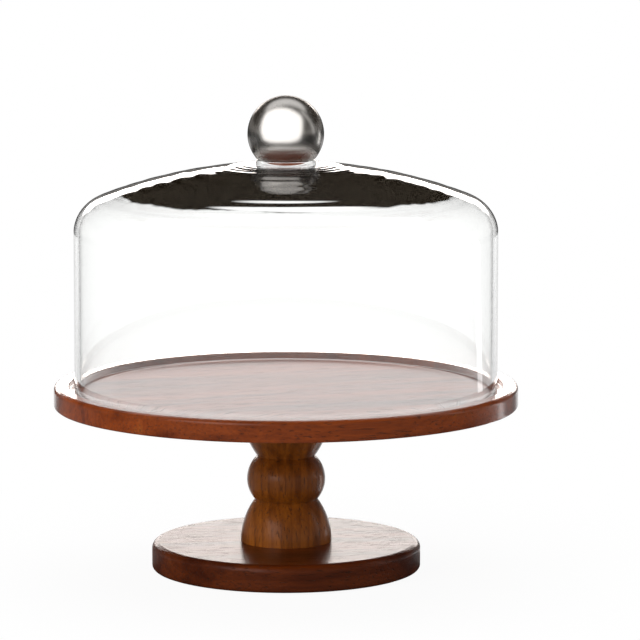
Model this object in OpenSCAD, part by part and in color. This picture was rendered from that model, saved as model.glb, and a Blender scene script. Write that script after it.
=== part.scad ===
// Cheese dome: a glass bell with a steel ball knob on a turned wooden cake stand.
// +Z is up, the origin is on the ground under the axis, and every size is in millimetres.

/* [Plate] */
// Diameter of the round plate
plate_d = 305; // [250:1:380]
// Thickness of the plate at its rim
plate_t = 14; // [12:0.5:24]
// Rounding of the plate's upper edge
plate_edge_r = 3; // [1:0.25:4]
// Rounding of the plate's lower edge
plate_under_r = 1.5; // [0.5:0.25:3]
// Width of the raised rim around the well
rim_w = 10; // [6:0.5:16]
// Depth of the well that the glass stands in
well_depth = 4; // [2:0.25:4.5]
// Rounding of the rim's inner edge and of the corner of the well
well_r = 1; // [0.5:0.25:1.5]
// Width of one board of the plate
board_w = 49; // [40:1:60]
// Turn of the plate's boards about the axis
board_turn = 19; // [-45:1:45]
// Distance from the axis to the nearest seam
seam_off = 11; // [10:0.5:24]

/* [Column] */
// Height of the turned column
column_h = 90.6; // [80:0.1:140]
// Radius of the column at its two ends
bell_r = 30; // [24:0.25:40]
// Radius of the bead at mid height
bead_r = 25.75; // [20:0.25:34]
// Radius at the lower neck
neck_low_r = 20.6; // [15:0.1:22]
// Radius at the upper neck
neck_high_r = 19; // [15:0.1:22]
// Height of the lower neck, as a share of the column
neck_low_at = 0.308; // [0.25:0.001:0.35]
// Height of the upper neck, as a share of the column
neck_high_at = 0.627; // [0.58:0.001:0.68]

/* [Base] */
// Diameter of the round base
base_d = 177; // [140:1:240]
// Thickness of the base
base_t = 18; // [16:0.5:28]
// Rounding of the base's upper edge
base_edge_r = 4.5; // [1:0.25:6]
// Rounding of the base's lower edge
base_under_r = 2.5; // [0.5:0.25:4]
// Turn of the base's seam about the axis
base_turn = 9; // [-20:1:20]

/* [Glass] */
// Gap between the glass wall and the wall of the well
glass_gap = 3.5; // [1.5:0.25:6]
// Height of the glass from its rim to the middle of the crown
glass_h = 149.5; // [120:0.5:220]
// Thickness of the glass
glass_t = 3.5; // [2.5:0.1:5]
// Rounding of the rim that stands in the well
glass_rim_r = 1.2; // [0.5:0.1:1.2]
// Radius of the rounded shoulder
shoulder_r = 25; // [15:0.5:40]
// Radius of the shallow crown
crown_r = 345; // [250:1:600]
// Outer radius of the thick middle under the knob
boss_r = 36; // [30:0.5:44]
// How far the thick middle hangs below the inside of the crown
boss_drop = 6; // [4.5:0.25:10]
// How far the collar's lip stands above the crown
collar_h = 2.35; // [1.5:0.05:4]
// Thickness of the collar at its lip
lip_t = 0.5; // [0.4:0.1:2]
// Radius of the sweep from the collar into the crown
collar_sweep = 4; // [3:0.25:8]

/* [Knob] */
// Diameter of the hollow ball
ball_d = 50; // [40:0.5:56]
// Wall of the hollow ball
ball_t = 1.2; // [0.8:0.1:2]
// How far the ball sinks below the middle of the crown
ball_sink = 5.75; // [4:0.25:7]
// Thickness of the bond in the cup
bond_t = 0.24; // [0.18:0.02:0.6]

/* [Fasteners] */
// Diameter of the stud that joins plate and column
stud_d = 8; // [6:0.5:10]
// Length of the stud in the column
stud_grip = 36; // [25:1:40]
// Outer diameter of the threaded insert
insert_d = 12; // [10.5:0.5:13]
// Length of the threaded insert
insert_l = 7.5; // [5:0.25:7.5]
// Diameter of the insert's flange
flange_d = 17; // [14:0.5:18]
// Thickness of the insert's flange
flange_t = 1.5; // [1:0.1:2]
// Length of the stud's tapered tip
stud_tip = 1; // [0.5:0.25:2]
// Diameter of the screw that joins base and column
screw_d = 6; // [5:0.5:7]
// Length of the screw in the column
screw_grip = 34; // [20:1:36]
// Length of the screw's point
screw_tip = 6; // [3:0.5:8]
// Diameter of the screw's head
head_d = 11; // [10:0.5:13]
// Height of the screw's head
head_h = 4; // [3:0.25:5]
// Diameter of the washer under the head
washer_d = 18; // [15:0.5:22]
// Thickness of the washer
washer_t = 1.6; // [1:0.1:2]
// Depth of the bore that hides the head
head_bore = 8; // [7:0.25:10]
// Diameter of the two locating dowels
dowel_d = 8; // [6:0.5:9]
// Length of the locating dowels
dowel_l = 22; // [16:1:24]
// Distance from the axis to each dowel
dowel_ring = 14.5; // [13:0.5:17]

/* [Feet] */
// Diameter of the non-slip pads
pad_d = 18; // [12:0.5:24]
// Thickness of the pads
pad_t = 2.2; // [1.5:0.1:3]
// Depth of the pads' seats in the base
pad_seat = 1.2; // [0.6:0.1:1.4]
// Distance from the base's edge to the middle of a pad
pad_inset = 18; // [14:0.5:30]
// Rounding of the pads' lower edge
pad_edge_r = 0.6; // [0.2:0.1:0.8]

/* [Hidden] */
$fn = 128;
// Running clearance of a pin, dowel or pad in its hole
fit = 0.1;
// Looser clearance around the screw and its washer
loose = 0.2;
// Gap on each face of the bond
bond_gap = 0.04;
// Diameter at the very point of the screw
point_d = 1;
// A rounding smaller than this is cut as three facets to a quarter turn
fine_r = 2;
// Overshoot of a cut past the face it opens
cut = 1;
// Number of seams in the plate on each side of the nearest one
side_seams = 2;
// Turn of the dowels, clear of the seams of column and base
dowel_turn = 55;
// Turn of the first pad, clear of the base's seam
pad_turn = 45;

plate_r = plate_d / 2;
base_r = base_d / 2;
well_edge = plate_r - rim_w;
glass_r = well_edge - glass_gap;
ball_r = ball_d / 2;
cup_r = ball_r + bond_t;

// Heights, built up from the ground
base_z = pad_t - pad_seat;
column_z = base_z + base_t;
plate_z = column_z + column_h;
rim_z = plate_z + plate_t;
floor_z = rim_z - well_depth;
crown_z = floor_z + glass_h;
ball_z = crown_z + ball_r - ball_sink;
lip_z = crown_z + collar_h;

// Centres of the crown's and the shoulder's arcs, which meet on one tangent line
crown_c = crown_z - crown_r;
shoulder_x = glass_r - shoulder_r;
shoulder_c = crown_c + sqrt(pow(crown_r - shoulder_r, 2) - pow(shoulder_x, 2));
tangent = [shoulder_x, shoulder_c - crown_c] / (crown_r - shoulder_r);

// Outer radius of the collar's lip, around the ball
lip_r = sqrt(pow(cup_r, 2) - pow(ball_z - lip_z, 2)) + lip_t;

// Radius of the arc that hangs below the inside of the crown
boss_arc = (pow(boss_r, 2) + pow(boss_drop, 2)) / (2 * boss_drop);

// Edges of the plate's boards, from front to back
seams = [for (k = [-side_seams : side_seams]) seam_off + k * board_w];
board_edges = concat([-plate_d], seams, [plate_d]);

// ---- Outline helpers -------------------------------------------------------

// The sliver between a square corner and its rounding, in the first quadrant
module corner(r) {
    difference() {
        square(r);
        circle(r, $fn = r < fine_r ? 12 : $fn);
    }
}

// Half of a disc's section, with rounded upper and lower outer edges
module disc_section(r, t, upper, lower) {
    difference() {
        square([r, t]);
        translate([r - upper, t - upper]) corner(upper);
        translate([r - lower, lower]) mirror([0, 1]) corner(lower);
    }
}

// A slab from y0 to y1 that is wide enough for any piece, turned about the axis
module strip(y0, y1, turn) {
    rotate(turn)
        translate([-plate_d, y0, 0]) cube([2 * plate_d, y1 - y0, rim_z + cut]);
}

// ---- Plate -----------------------------------------------------------------

module plate_section() {
    difference() {
        disc_section(plate_r, plate_t, plate_edge_r, plate_under_r);
        translate([-cut, plate_t - well_depth]) square([well_edge - well_r + cut, well_depth + cut]);
        translate([0, plate_t - well_depth + well_r]) square([well_edge, well_depth]);
        translate([well_edge - well_r, plate_t - well_depth + well_r]) circle(well_r, $fn = 12);
        translate([well_edge + well_r, plate_t - well_r]) mirror([1, 0]) corner(well_r);
    }
}

module plate_blank() {
    difference() {
        translate([0, 0, plate_z]) rotate_extrude() plate_section();
        translate([0, 0, plate_z - cut]) cylinder(d = insert_d + 2 * fit, h = insert_l + cut + 2 * fit);
        translate([0, 0, plate_z - cut]) cylinder(d = flange_d + 2 * fit, h = flange_t + cut);
    }
}

module plate_board(k) {
    color(k % 2 == 0 ? "#7a3a1e" : "#8c4a26") intersection() {
        plate_blank();
        strip(board_edges[k], board_edges[k + 1], board_turn);
    }
}

// ---- Column ----------------------------------------------------------------

// A bell whose side is one arc, upright at its end and meeting the neck
module bell_section(h, neck_r) {
    flare = bell_r - neck_r;
    arc_r = (pow(h, 2) + pow(flare, 2)) / (2 * flare);
    intersection() {
        square([bell_r, h]);
        translate([bell_r - arc_r, 0]) circle(arc_r, $fn = 512);
    }
}

// The bead between the necks: one arc through both necks and the bead's radius
module bead_section(z0, z1) {
    chord = [neck_high_r - neck_low_r, z1 - z0];
    sag = bead_r - (neck_low_r + neck_high_r) / 2;
    arc_r = (pow(norm(chord) / 2, 2) + pow(sag, 2)) / (2 * sag);
    middle = [(neck_low_r + neck_high_r) / 2, (z0 + z1) / 2];
    outward = [chord[1], -chord[0]] / norm(chord);
    intersection() {
        translate([0, z0]) square([bead_r + cut, z1 - z0]);
        translate(middle - outward * (arc_r - sag)) circle(arc_r, $fn = 256);
    }
    translate([0, z0]) square([min(neck_low_r, neck_high_r), z1 - z0]);
}

module column_blank() {
    neck_low = column_h * neck_low_at;
    neck_high = column_h * neck_high_at;
    translate([0, 0, column_z]) difference() {
        rotate_extrude() {
            bell_section(neck_low, neck_low_r);
            bead_section(neck_low, neck_high);
            translate([0, column_h]) mirror([0, 1]) bell_section(column_h - neck_high, neck_high_r);
        }
        translate([0, 0, column_h - stud_grip]) cylinder(d = stud_d + 2 * fit, h = stud_grip + cut);
        translate([0, 0, -cut]) cylinder(d = screw_d + 2 * fit, h = screw_grip + cut + fit);
        dowel_holes();
    }
}

module column_half(side) {
    color(side < 0 ? "#8f5a2c" : "#7c4a26") intersection() {
        column_blank();
        translate([side < 0 ? -plate_r : 0, -plate_r, 0]) cube([plate_r, plate_d, rim_z]);
    }
}

// ---- Base ------------------------------------------------------------------

module base_blank() {
    difference() {
        translate([0, 0, base_z])
            rotate_extrude() disc_section(base_r, base_t, base_edge_r, base_under_r);
        translate([0, 0, base_z - cut]) cylinder(d = screw_d + 2 * loose, h = base_t + 2 * cut);
        translate([0, 0, base_z - cut]) cylinder(d = washer_d + 2 * loose, h = head_bore + cut);
        translate([0, 0, column_z]) dowel_holes();
        for (k = [0 : 3])
            at_pad(k) cylinder(d = pad_d + 2 * fit, h = pad_t);
    }
}

module base_board(front) {
    color(front ? "#7a3a1e" : "#8c4a26") intersection() {
        base_blank();
        strip(front ? -base_d : 0, front ? 0 : base_d, base_turn);
    }
}

// ---- Fasteners -------------------------------------------------------------

module plate_insert() {
    color("goldenrod") translate([0, 0, plate_z]) difference() {
        union() {
            cylinder(d = insert_d, h = insert_l);
            cylinder(d = flange_d, h = flange_t);
        }
        translate([0, 0, -cut]) cylinder(d = stud_d + 2 * fit, h = insert_l + 2 * cut);
    }
}

module column_stud() {
    color("silver") translate([0, 0, plate_z - stud_grip]) {
        cylinder(d = stud_d, h = stud_grip + insert_l - stud_tip);
        translate([0, 0, stud_grip + insert_l - stud_tip])
            cylinder(d1 = stud_d, d2 = stud_d - stud_tip, h = stud_tip);
    }
}

module base_screw() {
    head_z = base_z + head_bore - washer_t - head_h;
    tip_z = column_z + screw_grip - screw_tip;
    socket_d = head_d / 2;
    socket_h = head_h / 2;
    color("silver") difference() {
        union() {
            translate([0, 0, head_z]) cylinder(d = head_d, h = head_h);
            translate([0, 0, head_z]) cylinder(d = screw_d, h = tip_z - head_z);
            translate([0, 0, tip_z]) cylinder(d1 = screw_d, d2 = point_d, h = screw_tip);
        }
        translate([0, 0, head_z - cut]) cylinder(d = socket_d, h = socket_h + cut, $fn = 6);
    }
}

module base_washer() {
    color("lightgray") translate([0, 0, base_z + head_bore - washer_t]) difference() {
        cylinder(d = washer_d, h = washer_t);
        translate([0, 0, -cut]) cylinder(d = screw_d + 2 * loose, h = washer_t + 2 * cut);
    }
}

// The dowels straddle the joint of column and base, one behind and one in front
module at_dowel(k) {
    rotate(dowel_turn + 180 * k) translate([dowel_ring, 0, 0]) children();
}

module dowel_holes() {
    for (k = [0 : 1])
        at_dowel(k) translate([0, 0, -dowel_l / 2 - fit])
            cylinder(d = dowel_d + 2 * fit, h = dowel_l + 2 * fit);
}

module dowel(k) {
    color("tan") at_dowel(k) translate([0, 0, column_z - dowel_l / 2]) cylinder(d = dowel_d, h = dowel_l);
}

// ---- Feet ------------------------------------------------------------------

module at_pad(k) {
    rotate(pad_turn + 90 * k) translate([base_r - pad_inset, 0, 0]) children();
}

module foot_pad(k) {
    color("dimgray") at_pad(k) rotate_extrude() difference() {
        square([pad_d / 2, pad_t]);
        translate([pad_d / 2 - pad_edge_r, pad_edge_r]) mirror([0, 1]) corner(pad_edge_r);
    }
}

// ---- Glass -----------------------------------------------------------------

// The solid outline of the bell, drawn in from its outer face by inset
module bell_outline(inset) {
    reach = crown_r + cut;
    translate([0, floor_z]) square([glass_r - inset, shoulder_c - floor_z]);
    translate([0, floor_z]) square([shoulder_x, shoulder_c - floor_z + (shoulder_r - inset) * tangent[1]]);
    translate([shoulder_x, shoulder_c]) circle(shoulder_r - inset);
    intersection() {
        translate([0, crown_c]) circle(crown_r - inset, $fn = 720);
        polygon([[0, shoulder_c], [shoulder_x, shoulder_c],
                 [shoulder_x, shoulder_c] + tangent * reach, [0, crown_z + reach]]);
    }
}

// The thick middle: a shallow arc that hangs below the inside of the crown
module boss_outline() {
    inside_z = crown_c + sqrt(pow(crown_r - glass_t, 2) - pow(boss_r, 2));
    intersection() {
        translate([0, inside_z - boss_drop + boss_arc]) circle(boss_arc, $fn = 720);
        translate([0, inside_z - boss_drop - cut]) square([boss_r, boss_drop + glass_t / 2 + cut]);
    }
}

// The collar that the ball stands in, with a sweep into the crown
module collar_outline() {
    foot_z = crown_z - glass_t / 2;
    difference() {
        translate([0, foot_z]) square([lip_r + collar_sweep, lip_z - foot_z]);
        translate([lip_r + collar_sweep, lip_z]) circle(collar_sweep);
    }
}

module glass_section() {
    difference() {
        union() {
            difference() {
                bell_outline(0);
                bell_outline(glass_t);
                translate([glass_r - glass_rim_r, floor_z + glass_rim_r])
                    mirror([0, 1]) corner(glass_rim_r);
                translate([glass_r - glass_t + glass_rim_r, floor_z + glass_rim_r])
                    rotate(180) corner(glass_rim_r);
            }
            boss_outline();
            collar_outline();
        }
        translate([0, ball_z]) circle(cup_r, $fn = 256);
        translate([-glass_r, floor_z]) square([glass_r, 2 * glass_h]);
    }
}

module glass_dome() {
    color("lightcyan", 0.4) rotate_extrude() glass_section();
}

// ---- Knob ------------------------------------------------------------------

// A thin film of clear bond between the ball and its cup
module knob_bond() {
    color("ivory") translate([0, 0, ball_z]) intersection() {
        difference() {
            sphere(cup_r - bond_gap);
            sphere(ball_r + bond_gap);
        }
        translate([-ball_r, -ball_r, -ball_d]) cube([ball_d, ball_d, ball_d + lip_z - ball_z - bond_t]);
    }
}

module knob_half(up) {
    color(up ? "gainsboro" : "silver") translate([0, 0, ball_z]) intersection() {
        difference() {
            sphere(ball_r);
            sphere(ball_r - ball_t);
        }
        translate([-ball_d, -ball_d, up ? 0 : -ball_d]) cube([2 * ball_d, 2 * ball_d, ball_d]);
    }
}

plate_board(0);  // plate_board_1
plate_board(1);  // plate_board_2
plate_board(2);  // plate_board_3
plate_board(3);  // plate_board_4
plate_board(4);  // plate_board_5
plate_board(5);  // plate_board_6
column_half(-1);  // column_left
column_half(1);  // column_right
base_board(true);  // base_board_front
base_board(false);  // base_board_back
plate_insert();
column_stud();
base_screw();
base_washer();
dowel(1);  // dowel_front
dowel(0);  // dowel_back
foot_pad(0);  // foot_pad_1
foot_pad(1);  // foot_pad_2
foot_pad(2);  // foot_pad_3
foot_pad(3);  // foot_pad_4
glass_dome();
knob_bond();
knob_half(false);  // knob_lower
knob_half(true);  // knob_upper
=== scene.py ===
"""Looks of a cheese dome: a blown glass bell with a satin steel ball knob on a turned wooden cake stand.

Everything is in metres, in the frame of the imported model: +Z up, the origin on the ground under the axis.
"""

import math

import bpy
import numpy as np
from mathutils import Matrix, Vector


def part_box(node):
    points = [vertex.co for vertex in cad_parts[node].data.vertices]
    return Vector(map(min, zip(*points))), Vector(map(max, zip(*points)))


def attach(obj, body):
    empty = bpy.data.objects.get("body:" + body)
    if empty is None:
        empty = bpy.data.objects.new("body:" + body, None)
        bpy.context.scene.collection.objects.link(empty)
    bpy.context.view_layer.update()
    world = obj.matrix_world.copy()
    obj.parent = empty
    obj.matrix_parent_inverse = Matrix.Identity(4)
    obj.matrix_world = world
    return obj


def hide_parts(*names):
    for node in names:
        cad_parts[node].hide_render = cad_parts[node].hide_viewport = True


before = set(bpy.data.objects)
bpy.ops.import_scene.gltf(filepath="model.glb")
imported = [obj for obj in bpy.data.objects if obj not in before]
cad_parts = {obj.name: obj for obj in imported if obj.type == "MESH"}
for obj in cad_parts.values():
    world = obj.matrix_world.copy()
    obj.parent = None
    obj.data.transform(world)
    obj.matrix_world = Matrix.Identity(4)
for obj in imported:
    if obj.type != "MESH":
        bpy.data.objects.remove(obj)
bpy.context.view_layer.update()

# ---- Sizes taken from the frame ------------------------------------------------------------------

GLASS_LOW, GLASS_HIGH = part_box("glass_dome")
GLASS_RADIUS = GLASS_HIGH.x
GLASS_RIM_Z = GLASS_LOW.z
LIP_Z = GLASS_HIGH.z
BALL_LOW, BALL_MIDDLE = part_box("knob_lower")
BALL_RADIUS = BALL_MIDDLE.z - BALL_LOW.z
BALL_Z = BALL_MIDDLE.z
PLATE_RIM_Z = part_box("plate_board_3")[1].z

# ---- Sizes of the glass and the ball, as the construction has them -------------------------------

GLASS_WALL = 0.0035
RIM_ROUNDING = 0.0012
SHOULDER_RADIUS = 0.025
CROWN_RADIUS = 0.345
COLLAR_HEIGHT = 0.00235
COLLAR_SWEEP = 0.004
LIP_WIDTH = 0.0005
CUP_GAP = 0.00024
BOSS_RADIUS = 0.036
BOSS_DROP = 0.006
PAST_FOOT = 0.0005
GLASS_SEGMENTS = 288
BALL_SEGMENTS = 200
BALL_STEPS = 120

# Heights of the glass's unevenness, and where the rings round the collar lie
WALL_WAVE = 0.00022
RING_HEIGHT = 0.00030
RING_RADIUS = 0.032
RING_PITCH = 0.0052
RIPPLE_HEIGHT = 0.00018

# How far the grain of the plate and of the base is turned about Z from the side-to-side direction
PLATE_TURN = math.radians(19)
BASE_TURN = math.radians(9)

# ---- Camera --------------------------------------------------------------------------------------

CAMERA_DISTANCE = 2.81
CAMERA_ABOVE_RIM = 0.442
CAMERA_PITCH = math.radians(8.1)
CAMERA_YAW = math.radians(0.455)
CAMERA_LENS_MM = 243.4
SENSOR_MM = 36


# ---- Mesh helpers --------------------------------------------------------------------------------

def make_object(name, vertices, faces):
    """A smooth-shaded object at the origin from arrays of points and of quads or triangles."""
    mesh = bpy.data.meshes.new(name)
    mesh.from_pydata(vertices.tolist(), [], faces)
    mesh.shade_smooth()
    mesh.update()
    piece = bpy.data.objects.new(name, mesh)
    bpy.context.scene.collection.objects.link(piece)
    return piece


def arc(centre_r, centre_z, radius, start, end, steps):
    """Points of a circular arc in the (r, z) half plane.

    Each is centre + radius * (cos a, sin a), with a going evenly from start to end.
    """
    a = np.linspace(start, end, steps)
    return np.column_stack([centre_r + radius * np.cos(a), centre_z + radius * np.sin(a)])


def line(r0, z0, r1, z1, steps):
    """Evenly spaced points of a straight stretch in the (r, z) half plane."""
    t = np.linspace(0, 1, steps)
    return np.column_stack([r0 + (r1 - r0) * t, z0 + (z1 - z0) * t])


def joined(*stretches, same=1e-7):
    """The stretches one after the other, without points that repeat: closer than same is one point."""
    points = np.vstack(stretches)
    step = np.hypot(*np.diff(points, axis=0).T)
    return points[np.concatenate([[True], step > same])]


def revolve(name, profile, segments, displace=None):
    """A closed solid of revolution: each profile point (r, z) goes round to (r cos a, r sin a, z).

    The profile starts and ends on the axis, where it is closed by a pole, or is a loop that never meets it.
    displace(r, z, a) gives how far each point moves along r and z.
    """
    on_axis = profile[0, 0] < 1e-9
    rings = profile[1:-1] if on_axis else profile
    count = len(rings)
    angle = np.arange(segments) * 2 * np.pi / segments
    r, a = np.meshgrid(rings[:, 0], angle, indexing="ij")
    z = np.repeat(rings[:, 1][:, None], segments, axis=1)
    if displace:
        dr, dz = displace(r, z, a)
        r, z = r + dr, z + dz
    vertices = np.stack([r * np.cos(a), r * np.sin(a), z], axis=-1).reshape(-1, 3)
    here = np.arange(count * segments).reshape(count, segments)
    there = np.roll(here, -1, axis=1)
    if on_axis:
        low, up, up_next, low_next = here[:-1], here[1:], there[1:], there[:-1]
    else:
        low, up, up_next, low_next = here, np.roll(here, -1, 0), np.roll(there, -1, 0), there
    faces = np.stack([low, low_next, up_next, up], axis=-1).reshape(-1, 4).tolist()
    if on_axis:
        first, last = len(vertices), len(vertices) + 1
        poles = np.array([[0, 0, profile[0, 1]], [0, 0, profile[-1, 1]]])
        vertices = np.vstack([vertices, poles])
        faces += np.column_stack([np.full(segments, first), there[0], here[0]]).tolist()
        faces += np.column_stack([np.full(segments, last), here[-1], there[-1]]).tolist()
    return make_object(name, vertices, faces)


def face_outwards(piece):
    """Turns all faces over if the enclosed volume comes out negative."""
    mesh = piece.data
    mesh.calc_loop_triangles()
    points = np.empty(len(mesh.vertices) * 3)
    mesh.vertices.foreach_get("co", points)
    corners = np.empty(len(mesh.loop_triangles) * 3, int)
    mesh.loop_triangles.foreach_get("vertices", corners)
    a, b, c = points.reshape(-1, 3)[corners.reshape(-1, 3)].transpose(1, 0, 2)
    if np.einsum("ij,ij->i", a, np.cross(b, c)).sum() < 0:
        mesh.flip_normals()
    return piece


def waves(seed, terms, angle_max, reach):
    """A smooth random function of (s, a): a sum of terms w * sin(n a + k s + p).

    n is a whole number of waves round the axis, up to angle_max. s is a length along the profile, and reach
    is the shortest wave along it. The sum is mostly within 1.
    """
    rng = np.random.default_rng(seed)
    turns = rng.integers(0, angle_max + 1, terms)
    along = rng.uniform(-1, 1, terms) * 2 * np.pi / reach
    phase = rng.uniform(0, 2 * np.pi, terms)
    weight = rng.uniform(0.4, 1, terms)
    weight /= weight.sum() ** 0.75

    def value(s, a):
        total = np.zeros_like(a)
        for n, k, p, w in zip(turns, along, phase, weight):
            total += w * np.sin(n * a + k * s + p)
        return total

    return value


# ---- Node helpers --------------------------------------------------------------------------------

def add(tree, kind, inputs=None, **settings):
    """A node with its settings and inputs; an input that is a socket is linked, any other is its value."""
    node = tree.nodes.new(kind)
    for key, value in settings.items():
        setattr(node, key, value)
    for key, value in (inputs or {}).items():
        socket = node.inputs[key]
        if isinstance(value, bpy.types.NodeSocket):
            tree.links.new(value, socket)
        elif isinstance(value, (int, float)) and hasattr(socket.default_value, "__len__"):
            socket.default_value = [value] * len(socket.default_value)
        else:
            socket.default_value = value
    return node


def maths(tree, operation, a, b=0.0, c=0.0, clamp=False):
    """The result socket of a Math node."""
    node = add(tree, "ShaderNodeMath", {0: a, 1: b, 2: c}, operation=operation, use_clamp=clamp)
    return node.outputs[0]


def product(tree, *factors):
    """The result socket of all the factors multiplied."""
    result = factors[0]
    for factor in factors[1:]:
        result = maths(tree, "MULTIPLY", result, factor)
    return result


def raised(tree, start, value, gain):
    """start + gain * value."""
    return maths(tree, "ADD", start, maths(tree, "MULTIPLY", value, gain))


def length(tree, a, b):
    """The length of a vector whose two components are a and b: the root of the sum of their squares."""
    return maths(tree, "SQRT", maths(tree, "ADD", maths(tree, "POWER", a, 2.0), maths(tree, "POWER", b, 2.0)))


def ramp(tree, value, low, high, to_low=0.0, to_high=1.0):
    """The value eased from to_low at low to to_high at high, and clamped."""
    inputs = {"Value": value, "From Min": low, "From Max": high, "To Min": to_low, "To Max": to_high}
    return add(tree, "ShaderNodeMapRange", inputs, interpolation_type="SMOOTHSTEP").outputs[0]


def either(tree, share, a, b):
    """The value a mixed with the value b: a where share is 0, b where it is 1."""
    return add(tree, "ShaderNodeMix", {0: share, 2: a, 3: b}).outputs[0]


def blend(tree, share, a, b):
    """The colour a mixed with the colour b: a where share is 0, b where it is 1."""
    node = add(tree, "ShaderNodeMix", data_type="RGBA", blend_type="MIX", clamp_factor=True)
    for socket, value in ((node.inputs[0], share), (node.inputs[6], a), (node.inputs[7], b)):
        if isinstance(value, bpy.types.NodeSocket):
            tree.links.new(value, socket)
        else:
            socket.default_value = value
    return node.outputs[2]


def noise(tree, vector, scale=1.0, detail=3.0, roughness=0.55):
    """A noise value from 0 to 1 around 0.5."""
    inputs = {"Vector": vector, "Scale": scale, "Detail": detail, "Roughness": roughness}
    return add(tree, "ShaderNodeTexNoise", inputs, noise_dimensions="3D").outputs[0]


def stretched(tree, vector, scale, location=(0, 0, 0), rotation=(0, 0, 0)):
    """The vector scaled, then turned, then moved."""
    inputs = {"Vector": vector, "Scale": scale, "Location": location, "Rotation": rotation}
    return add(tree, "ShaderNodeMapping", inputs, vector_type="POINT").outputs[0]


def new_material(name):
    """An empty material: (material, its tree, its output node)."""
    material = bpy.data.materials.new(name)
    material.use_nodes = True
    tree = material.node_tree
    tree.nodes.clear()
    return material, tree, tree.nodes.new("ShaderNodeOutputMaterial")


def group(name, inputs, outputs):
    """An empty node group with named sockets: (group, its tree's input node, its output node)."""
    tree = bpy.data.node_groups.new(name, "ShaderNodeTree")
    for socket, kind in inputs:
        tree.interface.new_socket(socket, in_out="INPUT", socket_type=kind)
    for socket, kind in outputs:
        tree.interface.new_socket(socket, in_out="OUTPUT", socket_type=kind)
    return tree, tree.nodes.new("NodeGroupInput"), tree.nodes.new("NodeGroupOutput")


def colour(red, green, blue):
    """A colour socket's value from a linear red, green and blue."""
    return (red, green, blue, 1.0)


# ---- Wood ----------------------------------------------------------------------------------------

PORE_BROWN = colour(0.02, 0.008, 0.004)

# Scales of the wood's patterns: waves per metre along the fibres, then in both directions across them
SWAY_SCALE = (2.2, 9, 9)
FIGURE_SCALE = (2.6, 34, 34)
FIBRE_SCALE = (18, 620, 620)
PORE_SCALE = (60, 900, 900)

SWAY = 0.045
WOOD_RELIEF = 0.0004


def wood_group():
    """Grain of a board whose fibres run along its own X: rings about the pith, dark figure, fibres and pores.

    A ring's number is the distance from the X axis, swayed by noise, over the ring width. Its dark latewood
    is the fraction of that number to a power, ended by a short ramp.
    """
    tree, given, result = group(
        "acacia_grain",
        [("Vector", "NodeSocketVector"), ("Ring Width", "NodeSocketFloat"),
         ("Pale", "NodeSocketColor"), ("Middle", "NodeSocketColor"), ("Dark", "NodeSocketColor"),
         ("Figure", "NodeSocketFloat")],
        [("Color", "NodeSocketColor"), ("Roughness", "NodeSocketFloat"), ("Height", "NodeSocketFloat")])
    vector = given.outputs["Vector"]
    pale, middle, dark = (given.outputs[tone] for tone in ("Pale", "Middle", "Dark"))

    sway = noise(tree, stretched(tree, vector, SWAY_SCALE))
    apart = add(tree, "ShaderNodeSeparateXYZ", {0: vector})
    across = raised(tree, length(tree, apart.outputs[1], apart.outputs[2]), sway, SWAY)
    fraction = maths(tree, "FRACT", maths(tree, "DIVIDE", across, given.outputs["Ring Width"]))
    ring = product(tree, maths(tree, "POWER", fraction, 2.2), ramp(tree, fraction, 1.0, 0.9))

    figure = noise(tree, stretched(tree, vector, FIGURE_SCALE), detail=5.0, roughness=0.62)
    fibre = noise(tree, stretched(tree, vector, FIBRE_SCALE), roughness=0.6)
    pore_field = noise(tree, stretched(tree, vector, PORE_SCALE), detail=1.0, roughness=0.5)
    pore = ramp(tree, pore_field, 0.62, 0.7)

    tone = blend(tree, ramp(tree, figure, 0.3, 0.58), dark, middle)
    tone = blend(tree, ramp(tree, figure, 0.6, 0.8), tone, pale)
    tone = blend(tree, product(tree, ring, given.outputs["Figure"]), tone, dark)
    tone = blend(tree, ramp(tree, fibre, 0.35, 0.7, 0.0, 0.32), tone, dark)
    tone = blend(tree, product(tree, pore, 0.5), tone, PORE_BROWN)
    rough = raised(tree, raised(tree, 0.27, fibre, 0.14), pore, 0.12)
    height = maths(tree, "SUBTRACT", product(tree, fibre, 0.35), product(tree, pore, 0.9))

    tree.links.new(tone, result.inputs["Color"])
    tree.links.new(rough, result.inputs["Roughness"])
    tree.links.new(height, result.inputs["Height"])
    return tree


GRAIN = wood_group()


def wood(name, turn, pith, ring_width, figure, tones, coat=0.4):
    """Oiled wood whose fibres run along X after the turn; pith sets where the log's heart lies."""
    material, tree, output = new_material(name)
    place = add(tree, "ShaderNodeTexCoord").outputs["Object"]
    pale, middle, dark = tones
    grain = add(tree, "ShaderNodeGroup", node_tree=GRAIN)
    tree.links.new(stretched(tree, place, (1, 1, 1), location=pith, rotation=turn), grain.inputs["Vector"])
    given = {"Ring Width": ring_width, "Figure": figure, "Pale": pale, "Middle": middle, "Dark": dark}
    for socket, value in given.items():
        grain.inputs[socket].default_value = value
    bump = add(tree, "ShaderNodeBump", {
        "Height": grain.outputs["Height"], "Strength": 0.7, "Distance": WOOD_RELIEF})
    surface = add(tree, "ShaderNodeBsdfPrincipled", {
        "Base Color": grain.outputs["Color"],
        "Roughness": grain.outputs["Roughness"],
        "Normal": bump.outputs[0],
        "Coat Weight": coat,
        "Coat Roughness": 0.16,
        "Coat IOR": 1.35,
        "IOR": 1.4})
    tree.links.new(surface.outputs[0], output.inputs["Surface"])
    return material


# ---- Glass ---------------------------------------------------------------------------------------

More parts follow.
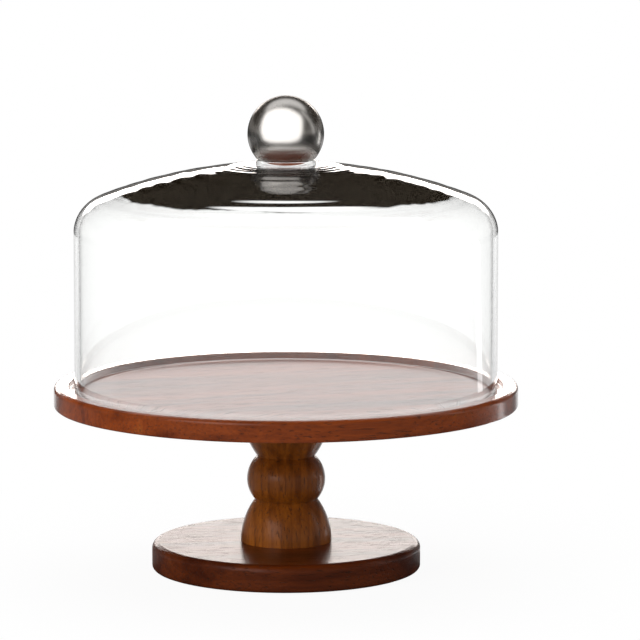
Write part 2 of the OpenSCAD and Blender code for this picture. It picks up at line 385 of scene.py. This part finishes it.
def glass_profile():
    """The bell's closed outline, all arcs and straight lines, from pole to pole.

    From the bottom of the ball's cup it goes up the cup, down the collar's hollow sweep, out over the crown
    and the shoulder, round the rim, and back inside to the boss that thickens the middle. The last number of
    each stretch is how many points it has.
    """
    crown_z = LIP_Z - COLLAR_HEIGHT
    centre_z = crown_z - CROWN_RADIUS
    shoulder_r = GLASS_RADIUS - SHOULDER_RADIUS
    shoulder_z = centre_z + math.sqrt((CROWN_RADIUS - SHOULDER_RADIUS) ** 2 - shoulder_r ** 2)
    tangent = math.atan2(shoulder_z - centre_z, shoulder_r)

    cup = BALL_RADIUS + CUP_GAP
    cup_angle = math.asin((LIP_Z - BALL_Z) / cup)
    sweep_r = cup * math.cos(cup_angle) + LIP_WIDTH + COLLAR_SWEEP
    foot_drop = min(COLLAR_SWEEP, LIP_Z - (centre_z + math.sqrt(CROWN_RADIUS ** 2 - sweep_r ** 2)))
    foot_angle = math.pi + math.asin(foot_drop / COLLAR_SWEEP)
    foot = arc(sweep_r, LIP_Z, COLLAR_SWEEP, math.pi, foot_angle, 14)
    crown_start = math.acos((foot[-1, 0] + PAST_FOOT) / CROWN_RADIUS)

    inside_crown = CROWN_RADIUS - GLASS_WALL
    boss_edge_z = centre_z + math.sqrt(inside_crown ** 2 - BOSS_RADIUS ** 2)
    boss_arc = (BOSS_RADIUS ** 2 + BOSS_DROP ** 2) / (2 * BOSS_DROP)
    boss_z = boss_edge_z - BOSS_DROP + boss_arc
    inner_r = GLASS_RADIUS - GLASS_WALL
    rounded_z = GLASS_RIM_Z + RIM_ROUNDING
    down = -math.pi / 2
    return joined(
        arc(0, BALL_Z, cup, down, cup_angle, 24),
        foot,
        arc(0, centre_z, CROWN_RADIUS, crown_start, tangent, 90),
        arc(shoulder_r, shoulder_z, SHOULDER_RADIUS, tangent, 0, 24),
        line(GLASS_RADIUS, shoulder_z, GLASS_RADIUS, rounded_z, 20),
        arc(GLASS_RADIUS - RIM_ROUNDING, rounded_z, RIM_ROUNDING, 0, down, 5),
        arc(inner_r + RIM_ROUNDING, rounded_z, RIM_ROUNDING, down, -math.pi, 5),
        line(inner_r, rounded_z, inner_r, shoulder_z, 20),
        arc(shoulder_r, shoulder_z, SHOULDER_RADIUS - GLASS_WALL, 0, tangent, 24),
        arc(0, centre_z, inside_crown, tangent, math.acos(BOSS_RADIUS / inside_crown), 60),
        arc(0, boss_z, boss_arc, -math.acos(BOSS_RADIUS / boss_arc), down, 30))


def blown_waviness():
    """How blown glass strays from true: soft waves in the wall, rings round the collar, ripples in the crown.

    The wall moves inwards only and the rim not at all, so the bell keeps its outer sizes.
    """
    long_wave = waves(seed=11, terms=9, angle_max=5, reach=0.16)
    ring_wave = waves(seed=23, terms=6, angle_max=4, reach=0.02)
    ripple = waves(seed=37, terms=10, angle_max=4, reach=0.011)
    crown_z = LIP_Z - COLLAR_HEIGHT

    def displace(r, z, a):
        depth = crown_z - z
        along = r + depth
        off_rim = np.clip((z - GLASS_RIM_Z - 0.004) / 0.03, 0, 1)
        off_collar = np.clip((r - 0.026) / 0.02, 0, 1)
        soft = WALL_WAVE * long_wave(along, a) * off_rim * off_collar
        near_ring = np.exp(-((r - RING_RADIUS) / 0.009) ** 2) * (depth < 0.02)
        rings = RING_HEIGHT * near_ring * (np.sin(2 * np.pi * r / RING_PITCH) + 0.6 * ring_wave(along, a))
        on_crown = np.clip((r - 0.028) / 0.03, 0, 1) * np.clip((0.03 - depth) / 0.01, 0, 1)
        rings += RIPPLE_HEIGHT * ripple(along, a) * on_crown
        steep = np.clip(depth / 0.05, 0, 1)
        return -np.abs(soft) * steep, soft * (1 - steep) + rings

    return displace


def build_glass():
    """The glass bell, one closed surface with an outer and an inner side."""
    piece = revolve("glass_bell", glass_profile(), GLASS_SEGMENTS, blown_waviness())
    face_outwards(piece)
    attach(piece, "dome")
    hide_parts("glass_dome")
    return piece


CLEAR_GLASS = colour(0.985, 0.99, 0.985)
# Painted dark reflection on the top of the crown
PAINTED_DARK_REFLECTION = colour(0.0007, 0.0005, 0.0003)
# Painted dark outline round all the glass
PAINTED_DARK_OUTLINE = colour(0.02, 0.019, 0.017)
SHADOW_GLASS = colour(0.95, 0.96, 0.955)

# Borders of the crown's painted dark reflection, each from clear to painted dark: radii, heights, how far up
# the surface looks, and how much along itself it is seen. WANDER is how far noise moves the radii and the
# last.
DARK_REFLECTION_OUTER = (0.1145, 0.1115)
DARK_REFLECTION_INNER = (0.024, 0.031)
DARK_REFLECTION_BOTTOM = (0.225, 0.235)
DARK_REFLECTION_UPWARD = (0.0, 0.3)
DARK_REFLECTION_FACING = (0.565, 0.6)
# Where the painted dark outline of the glass begins and is full, by how much the glass is seen along itself
PAINTED_OUTLINE_FACING = (0.80, 0.93)
WANDER = 0.016
WANDER_SCALE = 26.0


def glass_material():
    """Clear glass that lets lamps through.

    The top of its crown has a painted dark reflection where it is looked at along its surface, with a noisy
    border, and all of it has a painted dark outline.
    """
    material, tree, output = new_material("clear_blown_glass")
    place = add(tree, "ShaderNodeTexCoord").outputs["Object"]
    x, y, z = add(tree, "ShaderNodeSeparateXYZ", {0: place}).outputs
    normal = add(tree, "ShaderNodeNewGeometry").outputs["Normal"]
    upward = add(tree, "ShaderNodeSeparateXYZ", {0: normal}).outputs[2]
    facing = add(tree, "ShaderNodeLayerWeight", {"Blend": 0.5}).outputs["Facing"]

    wander = product(tree, maths(tree, "SUBTRACT", noise(tree, place, WANDER_SCALE), 0.5), WANDER)
    edge = maths(tree, "ADD", length(tree, x, y), wander)
    # Where the crown's painted dark reflection lies
    painted_reflection = product(
        tree,
        ramp(tree, edge, *DARK_REFLECTION_OUTER),
        ramp(tree, z, *DARK_REFLECTION_BOTTOM),
        ramp(tree, edge, *DARK_REFLECTION_INNER, to_low=0.45),
        ramp(tree, upward, *DARK_REFLECTION_UPWARD),
        ramp(tree, maths(tree, "ADD", facing, wander), *DARK_REFLECTION_FACING))
    tint = blend(tree, painted_reflection, CLEAR_GLASS, PAINTED_DARK_REFLECTION)
    # Painted dark outline where the glass is seen along its surface
    tint = blend(tree, ramp(tree, facing, *PAINTED_OUTLINE_FACING), tint, PAINTED_DARK_OUTLINE)

    glass = add(tree, "ShaderNodeBsdfPrincipled", {
        "Base Color": tint, "Roughness": 0.0, "IOR": 1.5, "Transmission Weight": 1.0})
    clear = add(tree, "ShaderNodeBsdfTransparent", {"Color": SHADOW_GLASS})
    both = add(tree, "ShaderNodeMixShader", {0: add(tree, "ShaderNodeLightPath").outputs["Is Shadow Ray"]})
    tree.links.new(glass.outputs[0], both.inputs[1])
    tree.links.new(clear.outputs[0], both.inputs[2])
    tree.links.new(both.outputs[0], output.inputs["Surface"])
    return material


# ---- Knob ----------------------------------------------------------------------------------------

def build_knob():
    """The ball, its two pressed halves welded and polished into one: an arc from pole to pole, revolved."""
    profile = arc(0, BALL_Z, BALL_RADIUS, -math.pi / 2, math.pi / 2, BALL_STEPS)
    profile[[0, -1], 0] = 0
    piece = face_outwards(revolve("knob_ball", profile, BALL_SEGMENTS))
    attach(piece, "dome")
    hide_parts("knob_lower", "knob_upper")
    return piece


STEEL_DULL, STEEL_BRIGHT = colour(0.50, 0.475, 0.45), colour(0.60, 0.58, 0.555)
# Painted shade towards the cup, and the painted dark outline of the ball
STEEL_PAINTED_SHADE, STEEL_PAINTED_OUTLINE = colour(0.09, 0.075, 0.06), colour(0.06, 0.055, 0.05)
# White reflections, and the painted dark reflection at the ball's outline
STEEL_SHEEN, STEEL_PAINTED_OUTLINE_REFLECTION = colour(1.0, 1.0, 1.0), colour(0.12, 0.115, 0.11)
STEEL_PAINTED_OUTLINE_FACING = (0.74, 0.93)
SMEAR_SCALE = (60, 60, 60)
RING_SCALE = (300, 300, 2600)


def steel_material():
    """Satin steel, polished round in fine rings with faint smears, with painted shade towards its cup and a
    painted dark outline.
    """
    material, tree, output = new_material("satin_steel")
    place = add(tree, "ShaderNodeTexCoord").outputs["Object"]
    height = add(tree, "ShaderNodeSeparateXYZ", {0: place}).outputs[2]
    facing = add(tree, "ShaderNodeLayerWeight", {"Blend": 0.5}).outputs["Facing"]
    smear = noise(tree, stretched(tree, place, SMEAR_SCALE))
    fine = noise(tree, stretched(tree, place, RING_SCALE), detail=2.0)
    # Painted shade on the ball towards the glass cup
    shade_by_cup = ramp(tree, height, LIP_Z - 0.004, BALL_Z - 0.002, 0.65, 0.0)
    # Painted dark outline of the ball, in its colour and in its reflections
    outline = ramp(tree, facing, *STEEL_PAINTED_OUTLINE_FACING)
    tint = blend(tree, smear, STEEL_DULL, STEEL_BRIGHT)
    tint = blend(tree, shade_by_cup, tint, STEEL_PAINTED_SHADE)
    tint = blend(tree, outline, tint, STEEL_PAINTED_OUTLINE)
    bump = add(tree, "ShaderNodeBump", {"Height": fine, "Strength": 0.06, "Distance": 0.0002})
    steel = add(tree, "ShaderNodeBsdfPrincipled", {
        "Base Color": tint,
        "Specular Tint": blend(tree, outline, STEEL_SHEEN, STEEL_PAINTED_OUTLINE_REFLECTION),
        "Metallic": 1.0,
        "Roughness": raised(tree, 0.2, smear, 0.12),
        "Normal": bump.outputs[0]})
    tree.links.new(steel.outputs[0], output.inputs["Surface"])
    return material


# ---- Small hidden pieces -------------------------------------------------------------------------

# Darker and lighter colour of each plain finish
ZINC = colour(0.55, 0.56, 0.58), colour(0.7, 0.7, 0.7)
BRASS = colour(0.6, 0.42, 0.16), colour(0.75, 0.56, 0.25)
RUBBER = colour(0.012, 0.012, 0.012), colour(0.03, 0.03, 0.03)
BOND = colour(0.8, 0.8, 0.76), colour(0.9, 0.9, 0.86)


def plain_material(name, colours, roughness, metallic=0.0, scale=400.0, transmission=0.0):
    """A finish with a little mottling in colour and roughness, for fasteners, pads and the bond."""
    material, tree, output = new_material(name)
    place = add(tree, "ShaderNodeTexCoord").outputs["Object"]
    mottle = noise(tree, place, scale, 4.0)
    bump = add(tree, "ShaderNodeBump", {"Height": mottle, "Strength": 0.15, "Distance": 0.0002})
    surface = add(tree, "ShaderNodeBsdfPrincipled", {
        "Base Color": blend(tree, mottle, *colours),
        "Metallic": metallic,
        "Roughness": raised(tree, roughness, mottle, 0.15),
        "Transmission Weight": transmission,
        "Normal": bump.outputs[0]})
    tree.links.new(surface.outputs[0], output.inputs["Surface"])
    return material


def dress(node, material):
    """Gives a CAD node its material."""
    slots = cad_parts[node].data.materials
    slots.clear()
    slots.append(material)


# ---- Stand ---------------------------------------------------------------------------------------

# Each wood's pale, middle and dark tone
RED = colour(0.42, 0.125, 0.016), colour(0.25, 0.046, 0.005), colour(0.07, 0.01, 0.002)
GOLD = colour(0.60, 0.25, 0.035), colour(0.32, 0.095, 0.009), colour(0.08, 0.016, 0.002)
BEECH = colour(0.62, 0.42, 0.24), colour(0.52, 0.33, 0.18), colour(0.4, 0.24, 0.12)

# How light each board of the plate is beside the others, and the factors on the base's three tones
BOARD_SHADES = (0.95, 1.0, 1.15, 0.86, 1.1, 0.9)
BASE_SHADES = (0.5, 0.45, 0.5)

# Turn that lays the fibres of an upright piece along Z
UPRIGHT = (0, math.pi / 2, 0)

# Widths of the growth rings, and how strongly they show
PLATE_RINGS, PLATE_FIGURE = 0.0085, 0.26
BASE_RINGS, BASE_FIGURE = 0.009, 0.42
COLUMN_RINGS, COLUMN_FIGURE = 0.007, 0.5
BEECH_RINGS, BEECH_FIGURE = 0.003, 0.2

PLATE_COAT = 0.9
BASE_COAT = 0.08


def tinted(tones, factors):
    """Each tone made lighter or darker by its own factor."""
    return [colour(*np.minimum(1.0, np.multiply(tone[:3], factor)).tolist())
            for tone, factor in zip(tones, factors)]


def dress_boards():
    """Each board and half column gets its own cut of the log, and the plate's boards their own tones too."""
    for index, shade in enumerate(BOARD_SHADES):
        pith = (0.37 * index, 0.11 - 0.05 * index, -0.02 - 0.11 * ((index * 5) % 3))
        material = wood("plate_wood_%d" % (index + 1), (0, 0, -PLATE_TURN), pith, PLATE_RINGS, PLATE_FIGURE,
                        tinted(RED, (shade, shade, shade)), PLATE_COAT)
        dress("plate_board_%d" % (index + 1), material)
    for index, node in enumerate(("base_board_front", "base_board_back")):
        pith = (0.9 + 0.5 * index, 0.06 - 0.16 * index, -0.09)
        dress(node, wood("base_wood_%d" % (index + 1), (0, 0, -BASE_TURN), pith, BASE_RINGS, BASE_FIGURE,
                         tinted(RED, BASE_SHADES), BASE_COAT))
    for index, node in enumerate(("column_left", "column_right")):
        pith = (0.2 + 0.7 * index, 0.03 - 0.02 * index, 0.045 - 0.1 * index)
        dress(node, wood("column_wood_%d" % (index + 1), UPRIGHT, pith, COLUMN_RINGS, COLUMN_FIGURE, GOLD))


def dress_small_pieces():
    """Dowels, fasteners, pads and the ball's bond get plain finishes, one for each kind."""
    beech = wood("dowel_wood", UPRIGHT, (0, 0.02, 0.01), BEECH_RINGS, BEECH_FIGURE, BEECH, coat=0.0)
    zinc = plain_material("zinc_plate", ZINC, 0.3, metallic=1.0)
    brass = plain_material("turned_brass", BRASS, 0.25, metallic=1.0)
    rubber = plain_material("pad_rubber", RUBBER, 0.6, scale=900.0)
    bond = plain_material("clear_bond", BOND, 0.1, transmission=0.9)
    for node in ("dowel_front", "dowel_back"):
        dress(node, beech)
    for node in ("column_stud", "base_screw", "base_washer"):
        dress(node, zinc)
    dress("plate_insert", brass)
    dress("knob_bond", bond)
    for index in range(1, 5):
        dress("foot_pad_%d" % index, rubber)


# ---- Studio --------------------------------------------------------------------------------------

# Level of the white background behind glass, which makes up for what two walls reflect away
BEHIND_GLASS = 1.14

# What polish and metal mirror of the room, and the even light that matt surfaces get
DARK_ROOM = colour(0.024, 0.017, 0.01)
LOW_ROOM = colour(0.2, 0.19, 0.18)
SWEEP_BEHIND = colour(9.2, 8.5, 8.05)
CEILING = colour(1, 1, 1)
FRONT_LIGHT = colour(1.3, 1.3, 1.3)
STRIP_LIGHT = colour(1.2, 1.2, 1.2)
FILL = colour(0.42, 0.42, 0.42)

# Borders of the room's lights, each from outside to inside, as parts of the direction looked in: x to the
# right, y to the back, z up. At the horizon the dark room above turns into the lighter one below.
SWEEP_TOP = (0.23, 0.2)
SWEEP_BOTTOM = (0.09, 0.115)
SWEEP_SIDES = (0.06, -0.06)
CEILING_START = (0.68, 0.73)
CEILING_FRONT = (0.1, 0.3)
HORIZON = (0.24, 0.18)

# What polish and metal mirror of the floor
DIM_FLOOR = 0.06
BRIGHT_FLOOR = 1.1
ASIDE_FLOOR = 0.16
FLOOR_STRIP = 2.5
FLOOR_HALF = 40.0

# Share of plain white glow in the floor under the object; the rest is matt white, which takes the shadow
UNDER_OBJECT = 0.94

# Where the knob's own lamp stands from the ball
TO_KNOB_LAMP = 0.5 * np.array([-0.24, -0.87, 0.42])


def seen_directly(tree):
    """1 for rays that no matt surface has scattered, 0 for others and shadow rays; and the Light Path node."""
    path = add(tree, "ShaderNodeLightPath")
    direct = maths(tree, "ADD", path.outputs["Is Camera Ray"], path.outputs["Is Transmission Ray"])
    direct = maths(tree, "ADD", direct, path.outputs["Is Glossy Ray"], clamp=True)
    return product(tree, direct, maths(tree, "LESS_THAN", path.outputs["Diffuse Depth"], 0.5)), path


def patch(tree, axes, middle, half, soft):
    """A soft-edged stretch of one direction component, or rectangle in two: 1 inside, 0 outside."""
    inside = 1.0
    for axis, centre, reach in zip(axes, middle, half):
        off = maths(tree, "ABSOLUTE", maths(tree, "SUBTRACT", axis, centre))
        inside = product(tree, inside, ramp(tree, off, reach + soft, reach - soft))
    return inside


def build_floor():
    """A wide floor, plain white to the eye apart from a faint shadow under the object.

    Metal and polish see it white straight behind the object, dim elsewhere, and with a strip on the right.
    """
    corners = np.array([[-1, -1, 0], [1, -1, 0], [1, 1, 0], [-1, 1, 0]]) * FLOOR_HALF
    floor = make_object("floor", corners, [[0, 1, 2, 3]])
    material, tree, output = new_material("white_floor")
    matt = add(tree, "ShaderNodeBsdfDiffuse", {"Color": colour(0.8, 0.8, 0.8)})
    place = add(tree, "ShaderNodeTexCoord").outputs["Object"]
    x, y, _ = add(tree, "ShaderNodeSeparateXYZ", {0: place}).outputs
    away = length(tree, x, y)
    back = maths(tree, "DIVIDE", y, maths(tree, "MAXIMUM", away, 0.01))

    sweep = product(tree, ramp(tree, back, 0.0, 0.25), ramp(tree, away, 2.3, 1.9))
    aside = ramp(tree, back, 0.93, 0.8)
    strip = patch(tree, (back,), middle=(0.535,), half=(0.045,), soft=0.012)
    strip = product(tree, strip, ramp(tree, x, 0.0, 0.1))
    mirrored = product(
        tree,
        ramp(tree, sweep, 0.0, 1.0, DIM_FLOOR, BRIGHT_FLOOR),
        ramp(tree, aside, 0.0, 1.0, 1.0, ASIDE_FLOOR))
    mirrored = raised(tree, mirrored, strip, FLOOR_STRIP)

    direct, path = seen_directly(tree)
    level = either(tree, path.outputs["Is Glossy Ray"], 1.0, mirrored)
    level = either(tree, path.outputs["Is Transmission Ray"], level, BEHIND_GLASS)
    glow = add(tree, "ShaderNodeEmission", {"Color": colour(1, 1, 1), "Strength": level})
    lit = ramp(tree, away, 0.35, 0.12, 1.0, UNDER_OBJECT)
    mix = add(tree, "ShaderNodeMixShader", {0: product(tree, direct, lit)})
    tree.links.new(matt.outputs[0], mix.inputs[1])
    tree.links.new(glow.outputs[0], mix.inputs[2])
    tree.links.new(mix.outputs[0], output.inputs["Surface"])
    floor.data.materials.append(material)


def room_in_mirrors(tree):
    """The room that polish and metal mirror, by direction.

    It is dark, with a bright sweep low down behind, a ceiling at the back, a big soft light in front on the
    left and a strip on the right.
    """
    way = add(tree, "ShaderNodeTexCoord").outputs["Generated"]
    x, y, z = add(tree, "ShaderNodeSeparateXYZ", {0: way}).outputs
    aside = maths(tree, "SUBTRACT", maths(tree, "ABSOLUTE", x), product(tree, y, 0.35))
    sweep = product(
        tree, ramp(tree, z, *SWEEP_TOP), ramp(tree, aside, *SWEEP_SIDES), ramp(tree, z, *SWEEP_BOTTOM))
    ceiling = product(tree, ramp(tree, z, *CEILING_START), ramp(tree, y, *CEILING_FRONT))
    front = patch(tree, (x, z), middle=(-0.5, 0.35), half=(0.25, 0.3), soft=0.12)
    front = product(tree, front, ramp(tree, y, 0.05, -0.15))
    strip = patch(tree, (y, z), middle=(0.05, 0.2), half=(0.05, 0.6), soft=0.02)
    strip = product(tree, strip, ramp(tree, x, 0.3, 0.5))
    room = blend(tree, ramp(tree, z, *HORIZON), DARK_ROOM, LOW_ROOM)
    room = blend(tree, sweep, room, SWEEP_BEHIND)
    room = blend(tree, ceiling, room, CEILING)
    room = blend(tree, front, room, FRONT_LIGHT)
    return blend(tree, strip, room, STRIP_LIGHT)


def build_world():
    """White to the eye and through glass, a room in mirrors, and even light on matt surfaces."""
    world = bpy.data.worlds.new("studio")
    bpy.context.scene.world = world
    world.use_nodes = True
    tree = world.node_tree
    tree.nodes.clear()
    output = tree.nodes.new("ShaderNodeOutputWorld")
    direct, path = seen_directly(tree)
    seen = blend(tree, path.outputs["Is Glossy Ray"], colour(1, 1, 1), room_in_mirrors(tree))
    seen = blend(tree, path.outputs["Is Transmission Ray"], seen, colour(*[BEHIND_GLASS] * 3))
    light = blend(tree, direct, FILL, seen)
    background = add(tree, "ShaderNodeBackground", {"Color": light, "Strength": 1.0})
    tree.links.new(background.outputs[0], output.inputs["Surface"])


def softbox(name, place, aim, size, watts, only=None):
    """A rectangular area lamp at place that faces aim, unseen by the camera and through glass.

    only names the one piece that it lights, which then mirrors it too. Other lamps aren't mirrored.
    """
    lamp = bpy.data.lights.new(name, "AREA")
    lamp.shape = "RECTANGLE"
    lamp.size, lamp.size_y = size
    lamp.energy = watts
    holder = bpy.data.objects.new(name, lamp)
    bpy.context.scene.collection.objects.link(holder)
    holder.location = place
    holder.rotation_mode = "QUATERNION"
    holder.rotation_quaternion = (Vector(aim) - Vector(place)).to_track_quat("-Z", "Y")
    holder.visible_camera = False
    holder.visible_transmission = False
    holder.visible_glossy = only is not None
    if only:
        reach = bpy.data.collections.new(name + "_reach")
        reach.objects.link(only)
        holder.light_linking.receiver_collection = reach


def build_camera():
    """A long lens a little above the plate, turned aside so that the object stands left of the middle."""
    lens = bpy.data.cameras.new("camera")
    lens.lens = CAMERA_LENS_MM
    lens.sensor_width = SENSOR_MM
    lens.clip_start = 0.05
    lens.clip_end = 200
    holder = bpy.data.objects.new("camera", lens)
    bpy.context.scene.collection.objects.link(holder)
    holder.location = (0, -CAMERA_DISTANCE, PLATE_RIM_Z + CAMERA_ABOVE_RIM)
    holder.rotation_euler = (math.pi / 2 - CAMERA_PITCH, 0, -CAMERA_YAW)
    bpy.context.scene.camera = holder


def build_studio(knob):
    """Floor, world, three lamps for everything, a wide soft one close to the knob alone, and the camera."""
    build_floor()
    build_world()
    middle = (0, 0, PLATE_RIM_Z)
    ball = np.array([0, 0, BALL_Z])
    softbox("overhead", (0, 0.9, 1.7), middle, size=(2.2, 1.4), watts=26)
    softbox("key", (-1.5, -1.5, 1.0), (0, 0, 0.2), size=(1.0, 1.2), watts=30)
    softbox("side_strip", (1.6, 0.2, 0.5), middle, size=(0.12, 0.9), watts=5)
    softbox("knob_softbox", tuple(ball + TO_KNOB_LAMP), tuple(ball), size=(2.0, 1.9), watts=26, only=knob)
    build_camera()
    bpy.context.scene.view_settings.view_transform = "Standard"


# ---- Assembly ------------------------------------------------------------------------------------

glass = build_glass()
glass.data.materials.append(glass_material())
knob_ball = build_knob()
knob_ball.data.materials.append(steel_material())
dress_boards()
dress_small_pieces()
build_studio(knob_ball)
